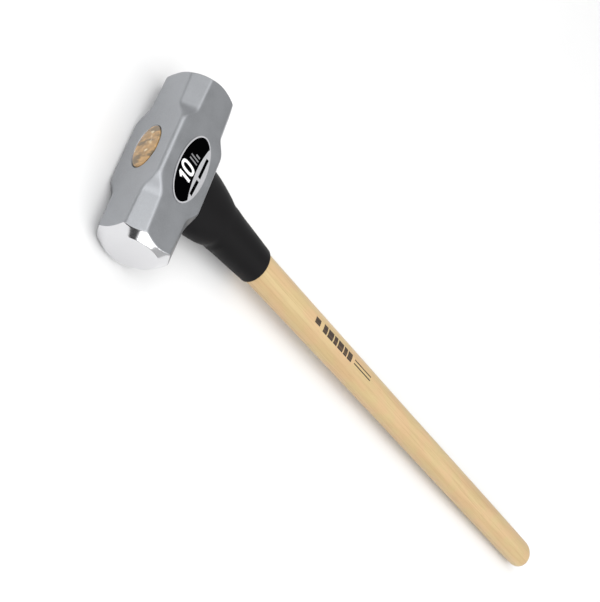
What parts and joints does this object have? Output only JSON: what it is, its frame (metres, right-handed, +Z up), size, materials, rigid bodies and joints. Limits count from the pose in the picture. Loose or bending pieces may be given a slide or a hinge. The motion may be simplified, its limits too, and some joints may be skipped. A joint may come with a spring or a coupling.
{
  "type": "sledge hammer",
  "caption": "Double-faced sledge hammer: octagonal-necked steel head wedged on a long oval wooden handle, with a black rubber overstrike sleeve and an oval label.",
  "frame": {"origin": "centre of the underside of the hammer's bounding box, as it lies on its side", "axes": "+X from the head to the butt of the handle, Y along the striking axis, +Z up out of the labelled cheek"},
  "size_m": [0.9076, 0.189, 0.0608],
  "materials": {
    "forged_steel": "satin forged body with polished striking ends",
    "handle_wood": "lacquered straight-grained hickory",
    "wedge_wood": "end grain, sealed",
    "wedge_steel": "dull, driven",
    "amber_resin": "clear amber, glossy",
    "sleeve_rubber": "matte black, moulded",
    "label_film": "black printed film with a silver rim and a pale band"
  },
  "bodies": {
    "root": {"hammer_head": "forged_steel", "handle": "handle_wood", "wood_wedge": "wedge_wood", "steel_wedge_front": "wedge_steel", "steel_wedge_rear": "wedge_steel", "resin_seal": "amber_resin", "overstrike_sleeve": "sleeve_rubber", "cheek_label": "label_film"}
  },
  "joints": []
}
